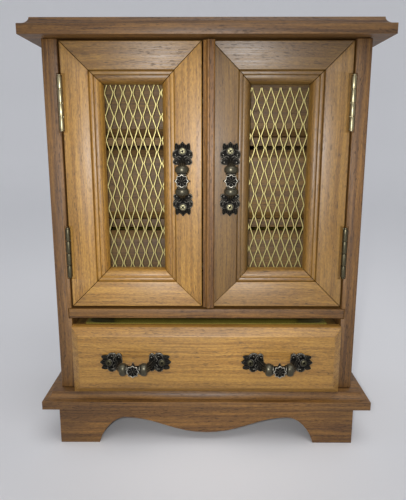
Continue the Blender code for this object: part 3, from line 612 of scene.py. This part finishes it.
def hinge_leaf(node, kind, side, x, y, bottom, top):
    """A leaf's plate with its two knuckles on their tabs; the pin stands at x, y."""
    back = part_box(node)[1].y
    xs = sorted(x + side * value for value in LEAF[kind])
    plate_front = y + PLATE_BEHIND
    plate = block("plate", (xs[0], plate_front, bottom), (xs[1], back, top))
    modify(plate, "BEVEL", width=0.00012, segments=2)
    parts = [plate]
    pitch = (top - bottom) / KNUCKLES
    for i in range(KNUCKLES):
        if (i % 2 == 0) == (kind == "door"):
            continue
        z0 = bottom + i * pitch + KNUCKLE_GAP
        z1 = bottom + (i + 1) * pitch - KNUCKLE_GAP
        barrel = cylinder("knuckle", KNUCKLE_RADIUS, z1 - z0, (x, y, (z0 + z1) / 2), 36)
        modify(barrel, "BEVEL", width=0.00016, segments=3, limit_method="ANGLE")
        tab = block("tab", (xs[0], y + TAB_BEHIND, z0 + TAB_SHORT),
                    (xs[1], plate_front + TAB_LAP, z1 - TAB_SHORT))
        parts += [barrel, tab]
    return smooth(join(node + "_piece", parts), 40)


def hinge_pin(name, end, at):
    """A pin with a rounded head at both ends, reaching end above and below its middle."""
    profile = [(0, end), (0.0005, end - 0.00006), (0.00095, end - 0.00034),
               (0.00108, end - 0.0006), (0.00108, end - 0.00088), (PIN_RADIUS, end - 0.0009)]
    profile += [(r, -z) for r, z in reversed(profile)]
    return smooth(lathe(name, profile, at), 40)


class ARMOIRE_OT_hinges(bpy.types.Operator):
    """Butt hinges with four knuckles, leaves and headed pins"""
    bl_idname = "armoire.hinges"
    bl_label = "Hinges"

    def execute(self, context):
        tint = list(context.scene.armoire_metals.hinge_brass)
        for word in DOORS:
            side = -1 if word == "left" else 1
            for place in HINGES:
                base = "%s_%s_hinge" % (word, place)
                low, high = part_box(base + "_pin")
                x, y = (low.x + high.x) / 2, (low.y + high.y) / 2
                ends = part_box(base + "_frame_leaf")
                tone = LOWER_HINGE_TONE if place == "lower" else 1.0
                finish = brass(base + "_brass", [tone * v for v in tint], 0.27, 0.12)
                for kind in ("door", "frame"):
                    node = "%s_%s_leaf" % (base, kind)
                    leaf = hinge_leaf(node, kind, side, x, y, ends[0].z, ends[1].z)
                    dress(leaf, finish, node)
                pin = hinge_pin(base + "_pin_piece", (high.z - low.z) / 2,
                                (x, y, (low.z + high.z) / 2))
                dress(pin, finish, base + "_pin")
        return {"FINISHED"}


# Half of one end of a pull, in millimetres: across and along from its middle.
PLATE = [(0, 7.6), (1.6, 7.6), (2.9, 7.9), (4.0, 7.8), (5.0, 8.4), (5.45, 9.4), (5.2, 10.4),
         (4.5, 11.0), (5.2, 11.7), (5.65, 12.8), (5.6, 14.2), (5.1, 15.4), (4.2, 16.2),
         (4.3, 17.4), (4.0, 18.8), (3.55, 19.8), (2.7, 19.4), (2.0, 18.7), (1.35, 19.2),
         (0.6, 20.0), (0, 20.6)]
# Thin ribs on the plate: across, along, above the wood, radius.
RIBS = [
    # the lobe beside the screw, curling in below it
    [(2.3, 16.2, 1.9, .30), (3.7, 15.9, 2.2, .36), (4.9, 15.0, 2.2, .38), (5.3, 13.7, 2.1, .38),
     (5.0, 12.5, 2.0, .36), (4.2, 12.3, 1.9, .32), (3.7, 13.0, 1.9, .30), (4.0, 13.7, 1.9, .34)],
    # the arched rib from the stem to the notch
    [(0.35, 10.9, 2.2, .34), (0.9, 12.1, 2.3, .36), (2.0, 12.7, 2.3, .36), (3.2, 12.1, 2.1, .34),
     (4.3, 11.3, 1.9, .30)],
    # the volute that curls in beside the stem
    [(1.0, 9.6, 2.7, .36), (1.6, 10.9, 2.5, .38), (2.8, 11.3, 2.4, .38), (4.1, 10.7, 2.2, .38),
     (4.9, 9.7, 2.1, .38), (4.8, 8.7, 2.0, .38), (4.0, 8.2, 1.9, .34), (3.2, 8.7, 1.9, .32),
     (3.4, 9.6, 1.9, .36)],
    # rim and vein of the side leaf
    [(2.3, 16.6, 1.5, .28), (2.1, 17.8, 1.7, .30), (2.6, 19.0, 1.6, .28), (3.5, 19.7, 1.4, .22)],
    [(4.0, 16.5, 1.5, .28), (4.1, 17.6, 1.7, .30), (3.9, 18.8, 1.6, .28), (3.6, 19.7, 1.4, .22)],
    [(3.1, 16.4, 1.6, .40), (3.2, 17.6, 2.0, .52), (3.3, 18.8, 1.5, .26)],
    # rim and vein of the middle leaf
    [(0.9, 17.1, 1.6, .28), (1.25, 18.2, 1.8, .30), (0.8, 19.4, 1.6, .28), (0, 20.45, 1.4, .22)],
    [(0, 17.0, 1.8, .36), (0, 18.2, 2.1, .42), (0, 19.5, 1.6, .24)],
]
# The arm that rises from the plate to the grip: along, above the wood, radius.
ARM = [(11.2, 0.7, 1.3), (10.2, 1.2, 1.5), (9.3, 2.6, 1.7), (8.6, 5.0, 1.85), (7.9, 7.8, 2.0),
       (7.0, 9.9, 2.15), (5.8, 10.9, 2.2), (4.6, 11.2, 2.2)]
FLUTES = (0.0, 0.48, 0.98)   # how far round the arm each flute lies, in radians
# A bulb's profile: radius, and along from the middle of the pull.
BULB = [(0, 8.0), (2.0, 7.95), (3.0, 7.65), (3.55, 7.0), (3.7, 6.2), (3.7, 5.3), (3.4, 4.5),
        (2.8, 4.1), (2.9, 3.85), (3.0, 3.6), (2.8, 3.35), (2.2, 3.2), (2.2, 1.5), (0, 1.5)]


# How much an edge is rubbed on each stretch of a pull, and where in millimetres it starts.
RUBBED = {"plate": 0.72, "grip": 0.62, "rosette": 1.0, "leaves": 0.56}
GRIP_ABOVE, ROSETTE_ABOVE, ROSETTE_BEYOND, LEAVES_BEYOND = 8, 12.8, 2.5, 16.4
# Where the fingers hold it: from this height, fading in over the next, to the third, and
# beyond this distance from the middle.
HELD_ABOVE, HELD_FADE, HELD_BELOW, HELD_BEYOND = 9.0, 2.0, 14.6, 3.3


def scaled(rows):
    return [[value * MM for value in row] for row in rows]


def ridge_marks(piece, rounds=14, full=0.00008):
    """Store how far each point stands above its smoothed neighbourhood (0.5 is level), and
    which points the fingers hold."""
    mesh = piece.data
    count = len(mesh.vertices)
    co = np.empty(count * 3)
    mesh.vertices.foreach_get("co", co)
    co = co.reshape(-1, 3)
    normals = np.empty(count * 3)
    mesh.vertex_normals.foreach_get("vector", normals)
    ends = np.empty(len(mesh.edges) * 2, dtype=int)
    mesh.edges.foreach_get("vertices", ends)
    first, second = ends.reshape(-1, 2).T
    near = np.bincount(ends, minlength=count)[:, None]
    soft = co.copy()
    for _ in range(rounds):
        total = np.empty_like(soft)
        for axis in range(3):
            total[:, axis] = (np.bincount(first, soft[second, axis], count)
                              + np.bincount(second, soft[first, axis], count))
        soft = total / np.maximum(near, 1)
    above = ((co - soft) * normals.reshape(-1, 3)).sum(axis=1)
    out, along, height = np.hypot(co[:, 0], co[:, 1]) / MM, np.abs(co[:, 1]) / MM, co[:, 2] / MM
    rubbed = np.where(height > GRIP_ABOVE, RUBBED["grip"], RUBBED["plate"])
    on_rim = (height > ROSETTE_ABOVE) & (out > ROSETTE_BEYOND)
    rubbed = np.where(on_rim, RUBBED["rosette"], rubbed)
    rubbed = np.where(along > LEAVES_BEYOND, RUBBED["leaves"], rubbed)
    above = np.where(above > 0, above * rubbed, above)
    held = np.clip((height - HELD_ABOVE) / HELD_FADE, 0, 1)
    held *= (height < HELD_BELOW) & (along > HELD_BEYOND)
    for name, values in (("ridge", np.clip(0.5 + 0.5 * above / full, 0, 1)), ("held", held)):
        layer = mesh.attributes.new(name, "FLOAT", "POINT")
        layer.data.foreach_set("value", values)


def plate_shapes(pulls):
    """One end's leaf plate, the ribs of its right half, and the boss round its screw."""
    outline = scaled(PLATE) + [[-x, y] for x, y in reversed(scaled(PLATE[1:-1]))]
    shapes = [slab("plate", outline, 0.3 * MM, 1.45 * MM)]
    for rib in RIBS:
        points = scaled(rib)
        shapes.append(rod("rib", [point[:3] for point in points], [point[3] for point in points],
                          sides=4, steps=8))
    boss = cylinder("boss", pulls.screw_radius + 0.5 * MM, 1.9 * MM,
                    (0, pulls.screw_spacing / 2, 1.35 * MM), 40)
    shapes.append(modify(boss, "BEVEL", width=0.25 * MM, segments=3, limit_method="ANGLE"))
    return shapes


def arm_shapes():
    """One end's arm, the flutes along its outer side, and the bulb at its head."""
    arm = scaled(ARM)
    shapes = [rod("arm", [(0, v, z) for v, z, _ in arm], [r for *_, r in arm], sides=6)]
    for angle in FLUTES:
        points = []
        for i, (v, z, r) in enumerate(arm[:-1]):
            dv, dz = arm[i + 1][0] - v, arm[i + 1][1] - z
            out = Vector((0, dz, -dv)).normalized() * math.cos(angle)
            out.x = math.sin(angle)
            points.append(Vector((0, v, z)) + 1.02 * r * out)
        shapes.append(rod("flute", points, [0.30 * MM] * len(points), sides=3, steps=6))
    bulb = lathe("bulb", scaled(BULB), (0, 0, 0), sides=40)
    settle(bulb, Matrix.Translation((0, 0, 11.0 * MM)) @ Matrix.Diagonal((1, 1, 0.88, 1))
           @ Matrix.Rotation(-math.pi / 2, 4, "X"))
    return shapes + [bulb]


def rosette_shapes():
    """The rosette over the middle: disc, rim, spokes between petals, side points and eye."""
    petals = 8
    corners = [((3.38 if i % 2 == 0 else 2.80) * MM, math.pi * i / petals)
               for i in range(2 * petals)]
    star = [(r * math.cos(angle), r * math.sin(angle)) for r, angle in corners]
    shapes = [slab("rosette", star, 11.6 * MM, 13.6 * MM),
              rod("rim", [(x, y, 13.9 * MM) for x, y in star], [0.34 * MM] * len(star),
                  closed=True, order=2, sides=3, steps=2)]
    for i in range(petals):
        angle = math.tau * (i + 0.5) / petals
        spoke = [(r * math.cos(angle) * MM, r * math.sin(angle) * MM, 13.75 * MM)
                 for r in (0.4, 1.4, 2.7)]
        shapes.append(rod("spoke", spoke, [0.15 * MM, 0.15 * MM, 0.26 * MM], sides=3, steps=4))
    for angle in (0, math.pi):
        point = [(math.cos(angle) * a * MM, 0, 11.5 * MM) for a in (2.6, 3.6, 4.4)]
        shapes.append(rod("side_point", point, [1.0 * MM, 0.55 * MM, 0.10 * MM], sides=4))
    clear_selection()
    bpy.ops.mesh.primitive_uv_sphere_add(segments=20, ring_count=12, radius=0.55 * MM,
                                         location=(0, 0, 13.7 * MM))
    return shapes + [settle(added("eye"))]


def casting(pulls):
    """One bow pull lying in XY, long along Y, with its back at z=0."""
    ends = join("pull", plate_shapes(pulls) + arm_shapes())
    modify(ends, "MIRROR", use_axis=(True, True, False), use_mirror_merge=False)
    whole = join("pull", [ends, *rosette_shapes()])
    modify(whole, "REMESH", mode="VOXEL", voxel_size=pulls.grain)
    seat = cylinder("seat", pulls.screw_radius + 0.06 * MM, 2 * MM,
                    (0, pulls.screw_spacing / 2, 2.70 * MM), 40)
    modify(seat, "MIRROR", use_axis=(False, True, False))
    modify(whole, "BOOLEAN", operation="DIFFERENCE", object=seat)
    bpy.data.objects.remove(seat)
    modify(whole, "SMOOTH", factor=0.5, iterations=1)
    ridge_marks(whole)
    modify(whole, "DECIMATE", ratio=pulls.keep)
    return smooth(whole, 60)


def pull_places():
    """Each pull's name, CAD node and matrix."""
    places = []
    for kind, turn in (("door", Matrix.Rotation(math.pi / 2, 4, "X")),
                       ("drawer", Matrix.Rotation(math.pi / 2, 4, "Y")
                        @ Matrix.Rotation(math.pi / 2, 4, "X"))):
        for side in DOORS:
            node = "%s_%s_pull" % (side, kind)
            low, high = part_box(node)
            at = Vector(((low.x + high.x) / 2, high.y + 0.3 * MM, (low.z + high.z) / 2))
            places.append((node, Matrix.Translation(at) @ turn))
    return places


class ARMOIRE_OT_pulls(bpy.types.Operator):
    """Antique bow pulls cast in bronze, with leaf plates, bulbs and a rosette"""
    bl_idname = "armoire.pulls"
    bl_label = "Bow pulls"

    def execute(self, context):
        metals, pulls = context.scene.armoire_metals, context.scene.armoire_pulls
        model = casting(pulls)
        bronze = cast_bronze("pull_bronze", list(metals.patina), list(metals.rubbed),
                             list(metals.olive))
        for node, matrix in pull_places():
            piece = settle(duplicate(model, node + "_casting"), matrix)
            dress(piece, bronze, node)
        bpy.data.objects.remove(model)
        return {"FINISHED"}


class ARMOIRE_OT_screws(bpy.types.Operator):
    """Round-headed screws with cross recesses, two to a pull"""
    bl_idname = "armoire.screws"
    bl_label = "Pull screws"

    def execute(self, context):
        metals, pulls = context.scene.armoire_metals, context.scene.armoire_pulls
        r = pulls.screw_radius
        profile = [(0, 2.72 * MM), (0.5 * r, 2.68 * MM), (0.80 * r, 2.55 * MM),
                   (0.95 * r, 2.30 * MM), (r, 2.0 * MM), (r, 1.75 * MM), (0.5 * r, 1.75 * MM),
                   (0.5 * r, 0.4 * MM), (0, 0.4 * MM)]
        model = lathe("screw", profile, (0, 0, 0), sides=40)
        for turn in (0, math.pi / 2):
            slot = block("slot", (-0.50 * r, -0.17 * r, 1.6 * MM), (0.50 * r, 0.17 * r, 3.2 * MM))
            settle(slot, Matrix.Rotation(turn + math.pi / 4, 4, "Z"))
            modify(model, "BOOLEAN", operation="DIFFERENCE", object=slot)
            bpy.data.objects.remove(slot)
        modify(model, "BEVEL", width=0.04 * MM, segments=1, limit_method="ANGLE",
               angle_limit=math.radians(50))
        smooth(model, 35)
        finishes = {kind: brass(kind + "_screw_brass", [tone * v for v in metals.screw_brass],
                                0.42, 0.7) for kind, tone in (("door", 1.0), ("drawer", 0.22))}
        # near-black painted shade for the screws' cross recesses
        recess_shade = cast_bronze("screw_recess", *[list(metals.patina)] * 3)
        # the walls and floor of the cross recess, painted near-black as shade
        inside = [abs(face.center.x) < 0.56 * r and abs(face.center.y) < 0.56 * r
                  and 0.5 * MM < face.center.z < 2.60 * MM and face.normal.z < 0.999
                  or abs(face.center.z - 1.6 * MM) < 0.05 * MM for face in model.data.polygons]
        for node, matrix in pull_places():
            for i, end in enumerate((1, -1)):
                spin = Matrix.Rotation(0.5 * i + 0.3 * len(node), 4, "Z")
                at = Matrix.Translation((0, end * pulls.screw_spacing / 2, 0)) @ spin
                piece = settle(duplicate(model, "%s_screw_%d" % (node, i + 1)), matrix @ at)
                dress(piece, finishes[node.split("_")[1]], body=BODY_OF[node])
                piece.data.materials.append(recess_shade)
                marks = np.array(inside, dtype=np.int32)
                piece.data.polygons.foreach_set("material_index", marks)
        bpy.data.objects.remove(model)
        return {"FINISHED"}


# The felt liner of an inner tray: in from its sides, up from its underside, below its rim,
# and the felt's own thickness at the sides and on the floor.
LINER_IN, LINER_UP, LINER_BELOW_RIM = 0.0047, 0.0031, 0.0008
LINER_WALL, LINER_FLOOR = 0.0014, 0.0012


class ARMOIRE_OT_fittings(bpy.types.Operator):
    """Turned knobs, felt linings, magnetic catches and their strike plates"""
    bl_idname = "armoire.fittings"
    bl_label = "Knobs, linings and catches"

    def execute(self, context):
        metals = context.scene.armoire_metals
        knob_finish = brass("knob_brass", list(metals.hinge_brass), 0.22, 0.35)
        cloth = felt("lining_felt", list(metals.felt))
        for word in LEVELS:
            low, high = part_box(word + "_drawer_knob")
            reach, r = high.y - low.y, (high.x - low.x) / 2
            profile = [(0, reach), (0.35 * r, 0.985 * reach), (0.68 * r, 0.92 * reach),
                       (0.90 * r, 0.80 * reach), (r, 0.64 * reach), (0.93 * r, 0.50 * reach),
                       (0.70 * r, 0.42 * reach), (0.44 * r, 0.32 * reach), (0.40 * r, 0.18 * reach),
                       (0.55 * r, 0.08 * reach), (0.60 * r, 0), (0, 0)]
            knob = lathe(word + "_knob", profile,
                         ((low.x + high.x) / 2, high.y, (low.z + high.z) / 2), "-Y", 40)
            dress(smooth(knob, 50), knob_finish, word + "_drawer_knob")
            low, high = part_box(word + "_drawer_tray")
            liner = block(word + "_liner", (low.x + LINER_IN, low.y + LINER_IN, low.z + LINER_UP),
                          (high.x - LINER_IN, high.y - LINER_IN, high.z - LINER_BELOW_RIM))
            depth = high.z - low.z - LINER_UP - LINER_BELOW_RIM - LINER_FLOOR
            start_edit(liner, everything=False)
            select_faces(liner, lambda centre, normal: normal.z > 0.5)
            bpy.ops.mesh.inset(thickness=LINER_WALL)
            bpy.ops.transform.translate(value=(0, 0, -depth))
            end_edit()
            modify(liner, "BEVEL", width=0.0005, segments=3, limit_method="ANGLE")
            dress(smooth(liner, 60), cloth, body=BODY_OF[word + "_drawer_tray"])
        dress(softened("drawer_lining", 0.0005), cloth, "drawer_lining")
        steel = brass("strike_steel", list(metals.steel), 0.30, 0.2)
        case = moulded("catch_case", (0.10, 0.07, 0.05))
        for side in DOORS:
            dress(softened(side + "_strike_plate", 0.0002), steel, side + "_strike_plate")
            dress(softened(side + "_catch", 0.0006), case, side + "_catch")
        return {"FINISHED"}


class ARMOIRE_OT_pins(bpy.types.Operator):
    """Small pins that hold the back panel in its rebate"""
    bl_idname = "armoire.pins"
    bl_label = "Back panel pins"

    def execute(self, context):
        low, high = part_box("back_panel")
        inset, r, rise = 0.0032, 0.00085, 0.0004
        across, up = 4, 5
        wide, tall = high.x - low.x - 2 * inset, high.z - low.z - 2 * inset
        xs = [low.x + inset + wide * i / (across - 1) for i in range(across)]
        zs = [low.z + inset + tall * i / (up - 1) for i in range(up)]
        places = [(x, z) for x in xs for z in (zs[0], zs[-1])]
        places += [(x, z) for x in (xs[0], xs[-1]) for z in zs[1:-1]]
        heads = []
        for x, z in places:
            head = lathe("head", [(0, -rise), (0.6 * r, -0.8 * rise), (0.92 * r, -0.35 * rise),
                                  (r, 0.1 * rise), (r, 0.5 * rise), (0, 0.5 * rise)],
                         (x, high.y, z), "-Y", 16)
            heads.append(head)
        pins = smooth(join("back_panel_pins", heads), 50)
        tint = [0.6 * v for v in context.scene.armoire_metals.steel]
        steel = brass("pin_steel", tint, 0.42, 0.6)
        dress(pins, steel, body="cabinet")
        return {"FINISHED"}


# Radius and height of the floor, which rises at its rim.
FLOOR_PROFILE = [(0, 0), (1.4, 0), (1.9, 0.03), (2.3, 0.16), (2.6, 0.42), (2.75, 0.8),
                 (2.8, 1.3), (2.8, 1.9)]
# Colour of the far floor and its rising rim: paler than the near floor, painted light that
# brightens the backdrop.
PAINTED_LIGHT_FAR_FLOOR = (0.95, 0.95, 0.96)
TOP_LAMP_AT, TOP_LAMP_AIM, TOP_LAMP_WIDTH = (0.15, -0.55, 1.15), (0, 0, 0.12), 0.9
FRONT_LAMP_AIM, FRONT_LAMP_RADIUS = (0, -0.042, 0.135), 0.006


class ARMOIRE_OT_stage(bpy.types.Operator):
    """Pale round floor that rises into a backdrop, soft lamps and the camera"""
    bl_idname = "armoire.stage"
    bl_label = "Stage, lamps and camera"

    def execute(self, context):
        scene, stage = context.scene, context.scene.armoire_stage
        floor = smooth(lathe("floor", FLOOR_PROFILE, (0, 0, 0), sides=stage.sides), 60)
        material, tree, shader = blank("pale_floor")
        spot = add(tree, "TexCoord").outputs["Object"]
        distance = add(tree, "VectorMath", {0: spot}, operation="LENGTH").outputs["Value"]
        # the floor grows paler with distance: painted light on the backdrop
        tree.links.new(mixed(tree, between(tree, distance, 0.5, 2.2), list(stage.floor),
                             PAINTED_LIGHT_FAR_FLOOR), shader.inputs["Base Color"])
        shader.inputs["Roughness"].default_value = 0.85
        floor.data.materials.append(material)
        clear_selection()
        bpy.ops.object.light_add(type="AREA", location=TOP_LAMP_AT)
        top = added("top_lamp")
        top.data.shape, top.data.size, top.data.energy = "DISK", TOP_LAMP_WIDTH, stage.top_lamp
        clear_selection()
        bpy.ops.object.light_add(type="SPOT", location=Vector(stage.camera) + Vector(stage.beside))
        front = added("front_lamp")
        front.data.energy, front.data.shadow_soft_size = stage.front_lamp, FRONT_LAMP_RADIUS
        front.data.spot_size, front.data.spot_blend = stage.cone, 1
        for lamp, target in ((top, TOP_LAMP_AIM), (front, FRONT_LAMP_AIM)):
            aim = Vector(target) - lamp.location
            lamp.rotation_euler = aim.to_track_quat("-Z", "Y").to_euler()
        world = bpy.data.worlds.new("daylight")
        world.use_nodes = True
        sky = world.node_tree.nodes["Background"]
        sky.inputs["Color"].default_value = (0.93, 0.95, 1.0, 1)
        sky.inputs["Strength"].default_value = stage.daylight
        scene.world = world
        scene.view_settings.view_transform = "Standard"
        clear_selection()
        bpy.ops.object.camera_add(location=stage.camera,
                                  rotation=(math.pi / 2 - stage.tilt, 0, stage.swing))
        camera = added("camera")
        camera.data.lens = stage.lens
        camera.data.sensor_width = 36
        camera.data.clip_start, camera.data.clip_end = 0.01, 20
        scene.camera = camera
        return {"FINISHED"}


OPERATORS = (ARMOIRE_OT_stage, ARMOIRE_OT_boards, ARMOIRE_OT_mesh, ARMOIRE_OT_hinges,
             ARMOIRE_OT_pulls, ARMOIRE_OT_screws, ARMOIRE_OT_fittings, ARMOIRE_OT_pins)
SETTINGS = {"armoire_woods": ArmoireWoods, "armoire_metals": ArmoireMetals,
            "armoire_mesh": ArmoireMesh, "armoire_pulls": ArmoirePulls,
            "armoire_stage": ArmoireStage}


class ARMOIRE_PT_panel(bpy.types.Panel):
    """Buttons and sizes of the armoire"""
    bl_idname = "ARMOIRE_PT_panel"
    bl_label = "Jewelry Armoire"
    bl_space_type = "VIEW_3D"
    bl_region_type = "UI"
    bl_category = "Armoire"

    def draw(self, context):
        for operator in OPERATORS:
            self.layout.operator(operator.bl_idname)
        for name, group in SETTINGS.items():
            box = self.layout.box()
            for key in group.__annotations__:
                box.prop(getattr(context.scene, name), key)


def register():
    for group in SETTINGS.values():
        bpy.utils.register_class(group)
    for cls in (*OPERATORS, ARMOIRE_PT_panel):
        bpy.utils.register_class(cls)
    for name, group in SETTINGS.items():
        setattr(bpy.types.Scene, name, PointerProperty(type=group))


def unregister():
    for name in SETTINGS:
        delattr(bpy.types.Scene, name)
    for cls in (ARMOIRE_PT_panel, *reversed(OPERATORS)):
        bpy.utils.unregister_class(cls)
    for group in SETTINGS.values():
        bpy.utils.unregister_class(group)


def main():
    register()
    for operator in OPERATORS:
        group, name = operator.bl_idname.split(".")
        getattr(getattr(bpy.ops, group), name)()
    bpy.context.view_layer.update()


if __name__ == "__main__":
    main()
